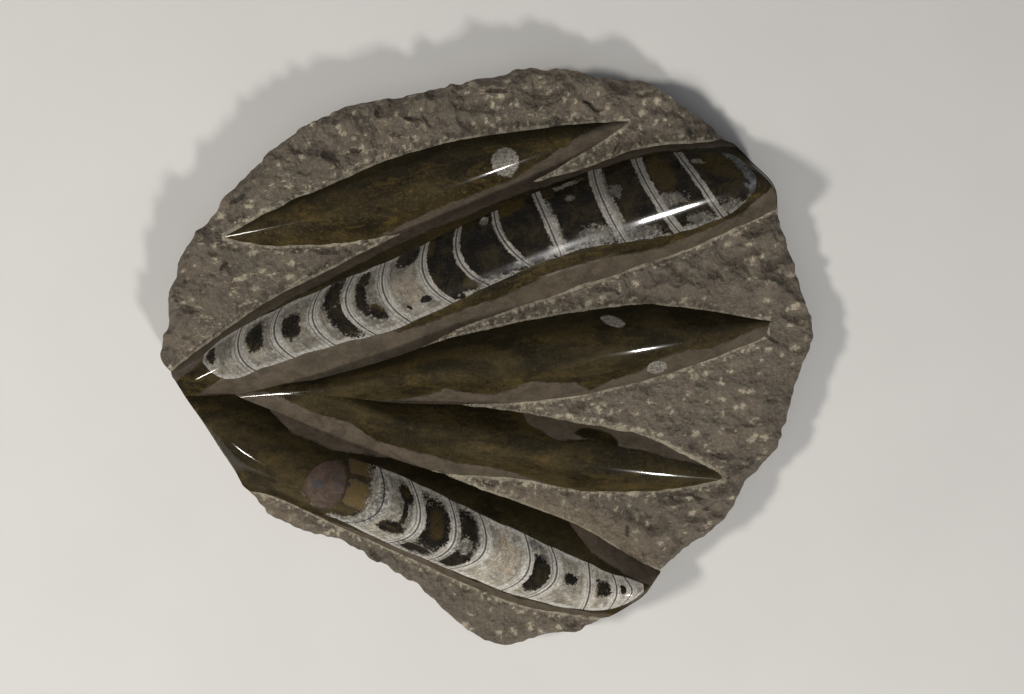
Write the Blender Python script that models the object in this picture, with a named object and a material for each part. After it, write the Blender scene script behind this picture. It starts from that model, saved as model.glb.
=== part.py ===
"""A polished orthoceras plate: one slab of fossil limestone carved with five ridges.

The slab is broken round its sides and sawn flat underneath, where the origin is: the middle of its
box, at the bottom. X runs along the plate, Y across it and Z up. The ridges fan out from the left
end. Two of them hold a straight-shelled fossil, ground down until its chambers show.
"""

from math import cos, pi, sin, tau

import bmesh
import bpy
import numpy as np

MM = 0.001

# Heights above the sawn base, in mm.
GROUND = 21.0  # the chiselled ground between the ridges
WAIST = 12.0  # where the broken side stands out farthest
BELOW = -6.0  # how far helper solids run under the base
RIDGE_ROOT = 10.0  # where the ridges' own solids end, inside the slab
SHELL_AXIS = 29.0  # the fossils' centre lines

# Each ring of the broken side: its height, and how far it stands in from the outline.
SIDE_RINGS = ((0.0, 2.5), (5.0, 0.8), (WAIST, 0.0), (GROUND, 1.8), (31.0, 5.0), (48.0, 11.0))
SIDE_ROUGHNESS = 0.9
GROUND_ROUGHNESS = 0.5
GROUND_REACH = (155.0, 140.0)  # how far the ground's helper runs, past the outline
GROUND_STEP = 13.0  # spacing of the ground's vertices
RIDGE_STEP = 9.0  # spacing of the sections along a ridge
ACROSS = 12  # panels across a ridge
ROUND = 20  # sides of a fossil's section
CREST_POWER = 1.7  # a ridge's section is 1 - t**power, between a tent and a round arch
FOOT_REACH = 1.12  # a ridge's flank runs on this far, past its foot into the ground
GAP = 0.3  # between a fossil and its pocket

# The outline at the waist, clockwise from the left end.
OUTLINE = (
    (-148, 5), (-145, 17), (-145, 25), (-142, 36), (-137, 50), (-128, 60), (-121, 70), (-111, 81),
    (-103, 89), (-94, 96), (-86, 103), (-72, 111), (-50, 117), (-22, 122), (1, 128), (27, 131),
    (51, 127), (69, 125), (82, 118), (96, 108), (110, 97), (119, 88), (130, 75), (131, 65),
    (135, 53), (140, 37), (142, 31), (144, 23), (148, 13), (142, -3), (140, -9), (137, -21),
    (134, -34), (127, -47), (114, -60), (109, -71), (96, -82), (82, -93), (76, -101), (71, -108),
    (64, -113), (51, -120), (23, -128), (10, -131), (-1, -129), (-16, -120), (-25, -111),
    (-52, -93), (-66, -85), (-86, -79), (-95, -75), (-102, -70), (-110, -61), (-115, -52),
    (-121, -43), (-130, -29), (-137, -19), (-142, -11), (-147, -4),
)

# Sections across each ridge: X, the crest's Y, its height over the ground, and the Y of its foot
# on the far side and on the near side.
RIDGES = {
    "blade": (
        (-120, 53, 0, 53.5, 52.5), (-98, 57, 4.5, 65, 49), (-70, 62.5, 9.5, 77.5, 50),
        (-42, 70, 12.5, 89, 53.5), (-14, 77.5, 14, 96.5, 64), (14, 87, 13, 101, 75),
        (40, 95.5, 8.5, 104, 89), (64, 105, 0, 105.5, 104),
    ),
    "long": (
        (-152, -21, 2, -14, -26), (-126, -9, 9, 6, -18.5), (-98, 4, 13, 25, -16.5),
        (-70, 17, 14.5, 39.5, -10.5), (-42, 27, 16, 54, -2), (-14, 38.5, 17, 65.5, 11.5),
        (14, 52, 18.5, 76, 21.5), (42, 62.5, 19.5, 84, 31), (70, 68, 20, 93.5, 40.5),
        (98, 73, 19.5, 96, 51), (126, 78, 17, 98, 64), (152, 82, 15, 100, 75),
    ),
    "middle": (
        (-113, -18.3, 0, -17.5, -19.5), (-98, -17, 4, -14, -24), (-84, -15.8, 7, -11.5, -27),
        (-70, -14.5, 9.5, -8, -26), (-42, -9.7, 13.5, 0, -22.5), (-14, -5, 16, 9, -22),
        (14, -1, 17.5, 15.5, -21), (42, 2.5, 17.5, 20.5, -17.5), (70, 6, 14.5, 23, -11),
        (98, 10, 9, 20.5, -2), (126, 15, 0, 15.5, 9),
    ),
    "low": (
        (-115, -18.8, 0, -17.6, -20), (-98, -17.2, 4, -12, -25), (-84, -16.5, 7, -10, -31),
        (-70, -19, 9, -10.5, -37), (-42, -28.5, 12, -19.5, -47.5), (-14, -35, 14, -21.5, -53.5),
        (14, -40.5, 14.5, -25, -55.5), (42, -45.5, 12.5, -30, -60.5), (70, -49.5, 8.5, -35.5, -61),
        (107, -55, 0, -53.5, -56),
    ),
    "edge": (
        (-152, -12, 0, -9, -40), (-126, -28, 10, -17, -58), (-112, -38, 15.5, -17.5, -62),
        (-98, -46, 18.5, -23, -64.5), (-70, -57, 20, -34.5, -77), (-42, -66, 20, -45, -89.5),
        (-14, -78, 19, -55, -102), (14, -90, 17.5, -65.5, -111.5), (42, -99.5, 16, -76.5, -116.5),
        (70, -105, 14, -93, -121), (100, -109, 11, -104, -126),
    ),
}

# Each fossil's two sides as they show on its ridge: X, the near side's Y and the far side's Y.
FOSSILS = {
    "orthoceras_upper": (
        (-126, -3, 1), (-119, -9, 7), (-112, -10, 11.5), (-98, -5, 18.5), (-70, 4, 31),
        (-42, 11.5, 42.5), (-14, 24, 56), (14, 37, 69), (42, 47, 81), (70, 51, 88),
        (98, 59, 90), (110, 65, 86), (116, 72, 78),
    ),
    "orthoceras_lower": (
        (-81, -60, -56), (-77, -66, -50), (-66, -72, -45), (-46, -82, -49.5), (-16, -94.5, -63),
        (14, -106, -77), (34, -111, -86), (52, -111.5, -94), (63, -107, -98), (68, -103, -100),
    ),
}

STONE = (0.14, 0.118, 0.095)
SHELL = (0.50, 0.47, 0.42)


def smooth(at, stations, values):
    """A smooth curve through the values at the stations: cubic spans with averaged slopes."""
    stations = np.asarray(stations, float)
    values = np.asarray(values, float)
    span = np.diff(stations)
    rise = np.diff(values) / span
    slope = np.concatenate(
        [rise[:1], (rise[:-1] * span[1:] + rise[1:] * span[:-1]) / (span[1:] + span[:-1]), rise[-1:]]
    )
    i = np.clip(np.searchsorted(stations, at) - 1, 0, len(span) - 1)
    t = (at - stations[i]) / span[i]
    start = values[i] * (1 + 2 * t) + slope[i] * span[i] * t
    end = values[i + 1] * (3 - 2 * t) - slope[i + 1] * span[i] * (1 - t)
    return start * (1 - t) ** 2 + end * t**2


def solid(name, rings):
    """A closed mesh skinned over rings of equal length, with its first and last ring filled."""
    count = len(rings[0])
    points = [tuple(MM * c for c in point) for ring in rings for point in ring]
    faces = [tuple(reversed(range(count))), tuple(range(len(points) - count, len(points)))]
    for row in range(len(rings) - 1):
        for k in range(count):
            a = row * count + k
            b = row * count + (k + 1) % count
            faces.append((a, b, b + count, a + count))
    mesh = bpy.data.meshes.new(name)
    mesh.from_pydata(points, [], faces)
    flat = bmesh.new()
    flat.from_mesh(mesh)
    bmesh.ops.triangulate(flat, faces=flat.faces)
    flat.to_mesh(mesh)
    flat.free()
    obj = bpy.data.objects.new(name, mesh)
    bpy.context.scene.collection.objects.link(obj)
    return obj


def helper(obj):
    """Marks a solid that only cuts or joins others."""
    obj.hide_render = True
    obj.display_type = "WIRE"
    return obj


def boolean(obj, operation, other):
    modifier = obj.modifiers.new(other.name, "BOOLEAN")
    modifier.operation = operation
    modifier.object = other


def finish(obj, colour, roughness):
    material = bpy.data.materials.new(obj.name)
    material.use_nodes = True
    shader = material.node_tree.nodes["Principled BSDF"]
    shader.inputs["Base Color"].default_value = (*colour, 1)
    shader.inputs["Roughness"].default_value = roughness
    shader.inputs["Metallic"].default_value = 0
    obj.data.materials.append(material)


def block():
    """The slab's broken side, as rings of the outline run up past the ridges."""
    points = np.array(OUTLINE, float)
    bearing = np.arctan2(points[:, 1], points[:, 0])
    order = np.argsort(bearing)
    bearing = bearing[order]
    reach = np.hypot(points[:, 0], points[:, 1])[order]
    around = np.concatenate([bearing[-2:] - tau, bearing, bearing[:2] + tau])
    between = (bearing + np.append(bearing[1:], bearing[0] + tau)) / 2
    at = np.stack([bearing, between], 1).ravel()
    out = smooth(at, around, np.concatenate([reach[-2:], reach, reach[:2]]))
    noise = np.random.default_rng(7)
    rings = []
    for height, inset in SIDE_RINGS:
        rough = SIDE_ROUGHNESS * noise.uniform(-1, 0, len(at))
        radius = out - inset + (rough if height not in (0.0, WAIST) else 0)
        rings.append(np.stack([radius * np.cos(at), radius * np.sin(at), np.full(len(at), height)], 1))
    return solid("matrix_slab", rings)


def ground():
    """A wide plate whose top is the chiselled ground, a little uneven."""
    noise = np.random.default_rng(3)
    xs = np.linspace(-GROUND_REACH[0], GROUND_REACH[0], round(2 * GROUND_REACH[0] / GROUND_STEP) + 1)
    ys = np.linspace(-GROUND_REACH[1], GROUND_REACH[1], round(2 * GROUND_REACH[1] / GROUND_STEP) + 1)
    rings = []
    for x in xs:
        top = GROUND + GROUND_ROUGHNESS * noise.uniform(-1, 1, len(ys))
        upper = [(x, y, z) for y, z in zip(ys, top)]
        rings.append([(x, ys[0], BELOW), *upper, (x, ys[-1], BELOW)][::-1])
    return helper(solid("terrain", rings))


def ridge(name, sections):
    """One ridge, as upright sections across it: an arch over the ground, and a root under it."""
    table = np.array(sections, float)
    stations = table[:, 0]
    count = max(4, round((stations[-1] - stations[0]) / RIDGE_STEP))
    rings = []
    for x in np.linspace(stations[0], stations[-1], count + 1):
        crest, height, far, near = (smooth(x, stations, table[:, k]) for k in range(1, 5))
        ring = [(x, near, RIDGE_ROOT)]
        for k in range(ACROSS + 1):
            t = FOOT_REACH * (2 * k / ACROSS - 1)
            y = crest + t * (far - crest if t > 0 else crest - near)
            ring.append((x, y, GROUND + height * (1 - abs(t) ** CREST_POWER) - 0.2))
        ring.append((x, far, RIDGE_ROOT))
        rings.append(ring[::-1])
    return helper(solid(f"ridge_{name}", rings))


def fossil(name, sides, grow=0.0):
    """A fossil's whole shell, or its pocket: rings round its centre line, as wide as it shows."""
    table = np.array(sides, float)
    ends = (table[0, 0] - grow, table[-1, 0] + grow)
    along = (1 - np.cos(np.linspace(0, pi, 23))) / 2
    rings = []
    for x in ends[0] + (ends[1] - ends[0]) * along:
        near = smooth(np.clip(x, table[0, 0], table[-1, 0]), table[:, 0], table[:, 1]) - grow
        far = smooth(np.clip(x, table[0, 0], table[-1, 0]), table[:, 0], table[:, 2]) + grow
        middle = (far + near) / 2
        radius = (far - near) / 2
        angles = [tau * k / ROUND for k in range(ROUND)]
        rings.append([(x, middle + radius * cos(a), SHELL_AXIS + radius * sin(a)) for a in angles])
    return solid(name, rings)


def main():
    for obj in list(bpy.data.objects):
        bpy.data.objects.remove(obj, do_unlink=True)
    terrain = ground()
    for name, sections in RIDGES.items():
        boolean(terrain, "UNION", ridge(name, sections))
    slab = block()
    boolean(slab, "INTERSECT", terrain)
    finish(slab, STONE, 0.6)
    for name, sides in FOSSILS.items():
        boolean(slab, "DIFFERENCE", helper(fossil(f"pocket_{name}", sides, GAP)))
        shell = fossil(name, sides)
        boolean(shell, "INTERSECT", terrain)
        finish(shell, SHELL, 0.15)


main()
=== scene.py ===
"""Looks for the orthoceras fossil plate: chiselled limestone with polished ridges and sectioned shells.

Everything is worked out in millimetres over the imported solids, and put into the meshes in metres.
The three solids are replaced by eight pieces: the slab, five ridges and two shells.
"""

from itertools import product
from math import pi, radians, tau

import bpy
import numpy as np
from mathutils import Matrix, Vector


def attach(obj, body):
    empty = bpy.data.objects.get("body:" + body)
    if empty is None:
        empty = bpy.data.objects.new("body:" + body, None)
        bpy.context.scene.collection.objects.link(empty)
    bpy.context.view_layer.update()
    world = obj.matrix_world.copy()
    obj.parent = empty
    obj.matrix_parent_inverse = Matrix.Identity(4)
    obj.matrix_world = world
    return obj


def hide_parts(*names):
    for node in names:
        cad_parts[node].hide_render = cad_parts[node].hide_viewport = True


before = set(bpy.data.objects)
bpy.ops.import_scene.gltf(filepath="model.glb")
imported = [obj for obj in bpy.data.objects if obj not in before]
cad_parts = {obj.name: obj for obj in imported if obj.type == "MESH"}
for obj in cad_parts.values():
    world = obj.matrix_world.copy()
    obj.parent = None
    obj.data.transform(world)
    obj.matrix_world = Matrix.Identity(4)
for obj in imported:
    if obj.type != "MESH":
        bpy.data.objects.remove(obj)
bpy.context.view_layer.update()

bl_info = {
    "name": "Orthoceras fossil plate",
    "version": (1, 0, 0),
    "blender": (4, 5, 0),
    "location": "View3D > Sidebar > Fossil plate",
    "description": "Builds a carved plate of fossil limestone with two polished orthoceras shells",
    "category": "Add Mesh",
}

MM = 0.001
SLAB_NODE = "matrix_slab"

# The slab's shape, after its solid's named values, in mm above the sawn base.
GROUND = 21.0  # the chiselled ground between the ridges
SIDE_HEIGHTS = (0.0, 5.0, 12.0, 21.0, 31.0, 48.0)
SIDE_INSETS = (2.5, 0.8, 0.0, 1.8, 5.0, 11.0)  # how far the broken side stands in from the outline
CREST_POWER = 1.7  # a ridge's section is 1 - t**power, between a tent and a round arch
FOOT_REACH = 1.14  # a ridge's flank runs on this far, past its foot into the ground
SINK = 0.2  # how far a ridge's foot starts under the ground
ROOT_DROP = 4.0  # how far under the ground a ridge is closed
ROOT_TAPER = 0.985  # how far the closing face draws in towards the plate's middle
SHELL_PROUD = 0.09  # how far a shell's face stands over its ridge's skin
SHELL_DEPTH = 3.0
WALL_SLANT = 0.9  # walls lie askew to X, so that a gap along X is wider than the gap itself
FAR_OFF = -99.0  # the cover of a point that is near no ridge
STONE_BEND = 28  # edges sharper than this, in degrees, stay sharp on broken stone
POLISH_BEND = 50  # and this on a polished face

# Points along each kind of piece, and across it.
SLAB_SQUARES = 256
SIDE_ROWS = 22
RIDGE_GRID = (420, 72)
UPPER_SHELL_GRID = (620, 110)
LOWER_SHELL_GRID = (420, 110)

# The outline at the waist, clockwise from the left end.
OUTLINE = (
    (-148, 5), (-145, 17), (-145, 25), (-142, 36), (-137, 50), (-128, 60), (-121, 70), (-111, 81),
    (-103, 89), (-94, 96), (-86, 103), (-72, 111), (-50, 117), (-22, 122), (1, 128), (27, 131),
    (51, 127), (69, 125), (82, 118), (96, 108), (110, 97), (119, 88), (130, 75), (131, 65),
    (135, 53), (140, 37), (142, 31), (144, 23), (148, 13), (142, -3), (140, -9), (137, -21),
    (134, -34), (127, -47), (114, -60), (109, -71), (96, -82), (82, -93), (76, -101), (71, -108),
    (64, -113), (51, -120), (23, -128), (10, -131), (-1, -129), (-16, -120), (-25, -111),
    (-52, -93), (-66, -85), (-86, -79), (-95, -75), (-102, -70), (-110, -61), (-115, -52),
    (-121, -43), (-130, -29), (-137, -19), (-142, -11), (-147, -4),
)

# Sections across each ridge: X, the crest's Y, its height over the ground, and the Y of its foot
# on the far side and on the near side. They are the solid's, but the middle ridge is up to 2 mm
# higher towards its right end, and the edge ridge's near foot is up to 2 mm further in.
RIDGES = {
    "blade": (
        (-120, 53, 0, 53.5, 52.5), (-98, 57, 4.5, 65, 49), (-70, 62.5, 9.5, 77.5, 50),
        (-42, 70, 12.5, 89, 53.5), (-14, 77.5, 14, 96.5, 64), (14, 87, 13, 101, 75),
        (40, 95.5, 8.5, 104, 89), (64, 105, 0, 105.5, 104),
    ),
    "long": (
        (-152, -21, 2, -14, -26), (-126, -9, 9, 6, -18.5), (-98, 4, 13, 25, -16.5),
        (-70, 17, 14.5, 39.5, -10.5), (-42, 27, 16, 54, -2), (-14, 38.5, 17, 65.5, 11.5),
        (14, 52, 18.5, 76, 21.5), (42, 62.5, 19.5, 84, 31), (70, 68, 20, 93.5, 40.5),
        (98, 73, 19.5, 96, 51), (126, 78, 17, 98, 64), (152, 82, 15, 100, 75),
    ),
    "middle": (
        (-113, -18.3, 0, -17.5, -19.5), (-98, -17, 4, -14, -24), (-84, -15.8, 7, -11.5, -27),
        (-70, -14.5, 9.5, -8, -26), (-42, -9.7, 13.5, 0, -22.5), (-14, -5, 16, 9, -22),
        (14, -1, 17.5, 15.5, -21), (42, 2.5, 17.5, 20.5, -17.5), (70, 6, 16.2, 23, -11),
        (98, 10, 11, 20.5, -2), (126, 15, 0, 15.5, 9),
    ),
    "low": (
        (-115, -18.8, 0, -17.6, -20), (-98, -17.2, 4, -12, -25), (-84, -16.5, 7, -10, -31),
        (-70, -19, 9, -10.5, -37), (-42, -28.5, 12, -19.5, -47.5), (-14, -35, 14, -21.5, -53.5),
        (14, -40.5, 14.5, -25, -55.5), (42, -45.5, 12.5, -30, -60.5), (70, -49.5, 8.5, -35.5, -61),
        (107, -55, 0, -53.5, -56),
    ),
    "edge": (
        (-152, -12, 0, -9, -40), (-126, -28, 10, -17, -58), (-112, -38, 15.5, -17.5, -60),
        (-98, -46, 18.5, -23, -62.5), (-70, -57, 20, -34.5, -75), (-42, -66, 20, -45, -87.5),
        (-14, -78, 19, -55, -100.5), (14, -90, 17.5, -65.5, -111.5), (42, -99.5, 16, -76.5, -116.5),
        (70, -105, 14, -93, -121), (100, -109, 11, -104, -126),
    ),
}

# Where the olive stone of a ridge gives way to grey, low on each flank: X, and t across the ridge,
# from -1 at the near foot past 0 at the crest to 1 at the far foot.
NEAR_OLIVE_EDGES = {
    "blade": (
        (-60, -1.2), (-48, -0.9), (-39, -0.77), (-26, -0.7), (-4, -0.65), (18, -0.55), (32, -0.2),
        (44, 0.3), (54, 0.8), (60, 1.3),
    ),
    "long": (
        (-152, -1.2), (-128, -0.7), (-116, -0.3), (-100, 0.1), (-60, 0.2), (-39, -0.62),
        (-16, -0.7), (5, -0.74), (32, -0.66), (49, -0.7), (80, -0.8), (112, -0.7), (126, -0.2),
        (136, 0.3),
    ),
    "middle": (
        (-113, 1.1), (-92, 0.3), (-70, -0.5), (-54, -0.62), (-39, -0.78), (-26, -0.67), (-19, -0.5),
        (-8, -0.68), (5, -0.73), (18, -0.52), (32, -0.64), (38, -0.66), (45, -0.93), (54, -0.76),
        (67, -0.7), (73, -0.52), (80, -0.44), (88, -0.4), (98, -0.52), (108, -0.46), (120, -0.2),
    ),
    "low": (
        (-115, 1), (-100, 0.3), (-88, -0.3), (-74, -0.47), (-61, -0.38), (-52, -0.56), (-26, -0.58),
        (-12, -0.64), (5, -0.66), (14, -0.82), (32, -1), (107, -1.2),
    ),
    "edge": ((-152, -1.3), (-86, -1.3), (-76, -0.92), (-46, -0.8), (60, -0.78), (100, -0.78)),
}
FAR_OLIVE_EDGES = {
    "blade": ((-120, 1.4), (64, 1.4)),
    "long": ((-152, 0.2), (-130, 0.4), (-114, 0.7), (-40, 0.8), (80, 0.84), (152, 0.84)),
    "middle": ((-113, 1.4), (126, 1.4)),
    "low": (
        (-115, 1.4), (12, 1.4), (17, 0.75), (30, 0.42), (45, 0.6), (52, 0.56), (80, 0.5), (94, 0.7),
        (107, 1.2),
    ),
    "edge": (
        (-152, 1.3), (-100, 1.0), (-86, 0.74), (-70, 0.72), (-46, 0.92), (-26, 1.3), (26, 1.3),
        (46, 0.62), (70, 0.38), (100, 0.25),
    ),
}

# How bright the grey of a ridge's far flank is, as painted light or shade; how much painted shade
# darkens its olive there; and how amber the olive is.
RIDGE_LOOKS = {
    "blade": (0.7, 1.0, 1.0),
    "long": (0.7, 1.0, 0.75),
    "middle": (0.7, 1.0, 0.35),
    "low": (1.5, 0.35, 0.3),
    "edge": (2.0, 0.75, 0.35),
}

# Each shell's two sides as they show on its ridge: X, the near side's Y and the far side's Y.
SHELL_SIDES = {
    "upper": (
        (-126, -3, 1), (-119, -9, 7), (-112, -10, 11.5), (-98, -5, 18.5), (-70, 4, 31),
        (-42, 11.5, 42.5), (-14, 24, 56), (14, 37, 69), (42, 47, 81), (70, 51, 88),
        (98, 59, 90), (110, 65, 86), (116, 72, 78),
    ),
    "lower": (
        (-81, -60, -56), (-77, -66, -50), (-66, -72, -45), (-46, -82, -49.5), (-16, -94.5, -63),
        (14, -106, -77), (34, -111, -86), (52, -111.5, -94), (63, -107, -98), (68, -103, -100),
    ),
}

# The walls between a shell's chambers: X on the near side, in the middle and on the far side, and
# the width of the white calcite on each wall.
WALLS = {
    "upper": (
        (-128, -128, -128, 0), (-102, -109, -109, 2.4), (-85, -93, -91, 3.0),
        (-67, -76, -73.5, 2.4), (-49, -61, -59, 2.6), (-33.5, -44.5, -45, 2.6),
        (-15.5, -27, -27.5, 2.0), (0.7, -12, -13, 1.8), (19, 7, 2.6, 1.7), (32, 25.7, 20.5, 2.1),
        (60, 50, 46.7, 3.3), (84, 71, 65, 2.7), (103, 91.7, 83, 2.2), (124, 121, 110, 0.0),
    ),
    "lower": (
        (-85, -85, -85, 0), (-63.5, -46.3, -47.7, 1.6), (-44.5, -29.7, -34, 2.2),
        (-26.6, -14.4, -17.2, 2.0), (-17.3, -1.9, -3.8, 1.4), (6, 17.3, 16, 1.8),
        (17, 29, 27.5, 2.4), (42, 44.2, 43.8, 1.6), (53, 56, 54.3, 1.0), (58, 62.7, 59.6, 0.8),
        (69, 71, 69, 0),
    ),
}

# Patches in the chambers: where along (whole numbers are walls), where across (0 near, 1 far), the
# half length, the half width, and how square it is.
PATCHES = {
    "dark": {  # dark mud that fills a chamber
        "upper": (
            (0.3, 0.62, 0.13, 0.36, 2), (1.47, 0.62, 0.27, 0.3, 2.5), (2.42, 0.54, 0.27, 0.26, 2.5),
            (3.55, 0.8, 0.3, 0.26, 3), (3.68, 0.36, 0.3, 0.34, 3), (4.4, 0.6, 0.17, 0.36, 2),
            (4.45, 0.86, 0.2, 0.11, 4), (4.62, 0.32, 0.2, 0.16, 2), (5.62, 0.92, 0.34, 0.15, 2),
            (5.3, 0.2, 0.05, 0.05, 2), (5.72, 0.22, 0.14, 0.06, 2), (9.78, 0.5, 3.75, 0.62, 12),
        ),
        "lower": (
            (1.66, 0.81, 0.23, 0.12, 2), (1.61, 0.58, 0.08, 0.22, 2), (1.51, 0.3, 0.34, 0.12, 2),
            (2.5, 0.55, 0.38, 0.4, 4), (2.4, 0.12, 0.4, 0.09, 2), (3.45, 0.66, 0.34, 0.3, 3),
            (3.5, 0.25, 0.36, 0.24, 3), (5.42, 0.47, 0.4, 0.34, 3), (6.42, 0.6, 0.22, 0.12, 2),
            (7.5, 0.58, 0.3, 0.22, 5), (8.45, 0.6, 0.22, 0.16, 3), (0.5, 0.65, 0.42, 0.5, 8),
            (0.28, 0.5, 0.34, 0.9, 8),
        ),
    },
    "amber": {  # iron-stained mud or stone
        "upper": (
            (4.72, 0.52, 0.24, 0.28, 2), (6.2, 0.88, 0.2, 0.16, 2), (6.85, 0.14, 0.3, 0.14, 2),
            (8.35, 0.95, 0.42, 0.13, 3), (11.4, 0.75, 0.35, 0.3, 2), (12.5, 0.78, 0.4, 0.26, 2),
            (0.3, 0.3, 0.15, 0.14, 2), (10.6, 0.1, 0.2, 0.1, 2),
        ),
        "lower": (
            (0.745, 0.91, 0.14, 0.11, 6), (0.735, 0.56, 0.14, 0.24, 6), (2.5, 0.6, 0.24, 0.26, 3),
            (1.66, 0.81, 0.1, 0.05, 2), (1.51, 0.3, 0.16, 0.045, 2),
        ),
    },
    "white": {  # calcite grown over the mud
        "upper": (
            (7.72, 0.92, 0.13, 0.07, 2), (7.15, 0.05, 0.3, 0.07, 3), (7.95, 0.1, 0.3, 0.06, 3),
            (8.9, 0.1, 0.22, 0.08, 3), (9.65, 0.12, 0.3, 0.14, 3), (9.5, 0.91, 0.26, 0.035, 4),
            (9.5, 0.7, 0.09, 0.05, 2), (10.14, 0.5, 0.09, 0.5, 4), (10.3, 0.08, 0.5, 0.08, 3),
            (10.33, 0.62, 0.13, 0.1, 2), (11.3, 0.4, 0.34, 0.09, 3), (11.6, 0.1, 0.3, 0.09, 2),
            (12.25, 0.12, 0.22, 0.14, 2), (12.2, 0.84, 0.1, 0.045, 3), (12.85, 0.2, 0.1, 0.06, 2),
            (9.1, 0.45, 0.07, 0.4, 4),
        ),
        "lower": (
            (5.3, 0.88, 0.3, 0.08, 2), (3.42, 0.48, 0.22, 0.16, 2), (0.95, 0.5, 0.08, 0.5, 3),
            (0.84, 0.04, 0.24, 0.1, 3),
        ),
    },
    "body": {  # the body chamber's rose stone
        "upper": (),
        "lower": (
            (0.375, 0.6, 0.28, 0.58, 2.2), (0.745, 0.93, 0.15, 0.15, 6),
            (0.735, 0.56, 0.15, 0.26, 6),
        ),
    },
    "crumbly": {  # calcite speckled with grey
        "upper": (
            (7.1, 0.1, 0.5, 0.1, 3), (8.3, 0.08, 0.6, 0.1, 3), (9.6, 0.1, 0.5, 0.16, 3),
            (10.35, 0.62, 0.25, 0.22, 2), (10.5, 0.1, 0.5, 0.16, 3), (11.35, 0.4, 0.34, 0.16, 3),
            (11.7, 0.1, 0.35, 0.16, 3), (12.4, 0.12, 0.35, 0.22, 3), (4.5, 0.4, 0.4, 0.36, 2),
        ),
        "lower": (
            (1.02, 0.5, 0.16, 0.6, 3), (0.74, 0.04, 0.4, 0.16, 3), (3.45, 0.5, 0.45, 0.6, 4),
            (2.4, 0.14, 0.5, 0.16, 3), (1.6, 0.55, 0.26, 0.5, 2), (5.35, 0.88, 0.36, 0.16, 3),
        ),
    },
    "rosy": {  # calcite tinged with rose
        "upper": (
            (5.5, 0.45, 0.36, 0.4, 2), (4.62, 0.42, 0.22, 0.24, 2), (2.62, 0.5, 0.12, 0.4, 2),
        ),
        "lower": ((4.45, 0.5, 0.34, 0.36, 2), (1.32, 0.32, 0.16, 0.16, 2), (7.2, 0.4, 0.3, 0.3, 2)),
    },
    "stone": {  # the ridge's own olive stone
        "upper": (),
        "lower": ((0.1, 0.5, 0.72, 1.6, 10), (0.6, 1.06, 0.36, 0.13, 6)),
    },
    "end": {  # the pale blue lining of the shell's end
        "upper": ((12.94, 0.5, 0.24, 0.9, 6), (12.76, 0.13, 0.18, 0.36, 5)),
        "lower": (),
    },
}

# How bright the calcite is along each shell, and how much painted shade darkens it on the far flank.
CLARITY = {
    "upper": ((0, 0.74), (5, 0.72), (7, 0.6), (13, 0.52)),
    "lower": (
        (0, 0.95), (3.95, 0.98), (4.2, 1.16), (4.8, 1.16), (5.05, 1.0), (7, 1.0), (8, 1.08),
        (10, 1.08),
    ),
}
SHELL_FAR_SHADE = {"upper": 0.32, "lower": 0.0}

# Short cracks in the ground: X, Y, half length and turn.
CREVICES = (
    (-112, 70, 6, 50), (-60, 92, 5, 12), (4, 118, 8, 4), (46, 112, 6, -20), (126, 8, 6, -18),
    (62, -78, 4, -60), (-118, 40, 4, 75), (92, 88, 6, -35),
)

# Other shells cut by the polish: ridge, X, Y, half length, half width, turn, in mm and degrees.
SMALL_SHELLS = (
    ("blade", 7.5, 85.0, 6.2, 6.6, 0), ("middle", 54.8, 15.3, 5.6, 2.4, -18),
    ("middle", 74.5, -5.0, 5.0, 2.9, 6),
)

# Dark lobes in the grey of a flank, like the small shells.
DARK_LOBES = (("low", 46.0, -34.6, 7.5, 2.2, -8), ("low", 53.0, -37.2, 5.5, 2.6, -30))

# Small hollows where two ridges meet: X, Y, reach and depth.
HOLLOWS = ((-79, -32, 9, 2.2), (-112, -17.5, 6, 2.0))

# Smoother, warmer patches of the ground, patches that are worn pale, and patches with shallow
# tool marks: X, Y, half length, half width and turn.
TAN_PATCHES = ((40, -78, 48, 14, -22), (-92, -76, 42, 9, -32), (-30, -57, 40, 8, -28))
WORN_PATCHES = ((-108, 20, 38, 26, 40), (-62, 84, 52, 14, 28), (20, 112, 44, 12, 0))
CALM_PATCHES = (
    (104, -4, 44, 40, -20), (66, -16, 50, 16, -8), (-108, 24, 26, 18, 30), (2, -116, 46, 14, -14),
)

# How far the ground drops at the rim, in mm, by bearing in degrees.
EDGE_BEVELS = (
    (-180, 1.2), (-150, 1.6), (-125, 2.6), (-95, 1.4), (-40, 1.2), (20, 1.4), (45, 2.4), (62, 4.0),
    (88, 4.5), (104, 3.2), (125, 1.6), (180, 1.2),
)
MARK_SPACING = 6.6  # between tool marks in the open ground
FOOT_MARK_SPACING = 3.0  # and between those along a ridge's foot
FOOT_MARK_GAP = 1.2  # from the foot to those marks
LOWEST_MARKED_RIDGE = 1.5  # a ridge lower than this has no marks along it


# ---------------------------------------------------------------- shapes


def smooth(at, places, values):
    """A smooth curve through the values at the places: cubic spans with averaged slopes."""
    span = np.diff(places)
    rise = np.diff(values) / span
    slope = np.concatenate(
        [rise[:1], (rise[:-1] * span[1:] + rise[1:] * span[:-1]) / (span[1:] + span[:-1]), rise[-1:]]
    )
    i = np.clip(np.searchsorted(places, at) - 1, 0, len(span) - 1)
    t = (at - places[i]) / span[i]
    start = values[i] * (1 + 2 * t) + slope[i] * span[i] * t
    end = values[i + 1] * (3 - 2 * t) - slope[i + 1] * span[i] * (1 - t)
    return start * (1 - t) ** 2 + end * t**2


def chance(cell, seed):
    """A number from 0 to 1 for each cell's three whole numbers, the same on every run.

    It is the part after the point of a large multiple of a sine, which jumps from cell to cell.
    """
    turn = cell @ np.array([127.1, 311.7, 74.7]) + 53.3 * seed
    return np.sin(turn) * 43758.5453 % 1.0


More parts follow.
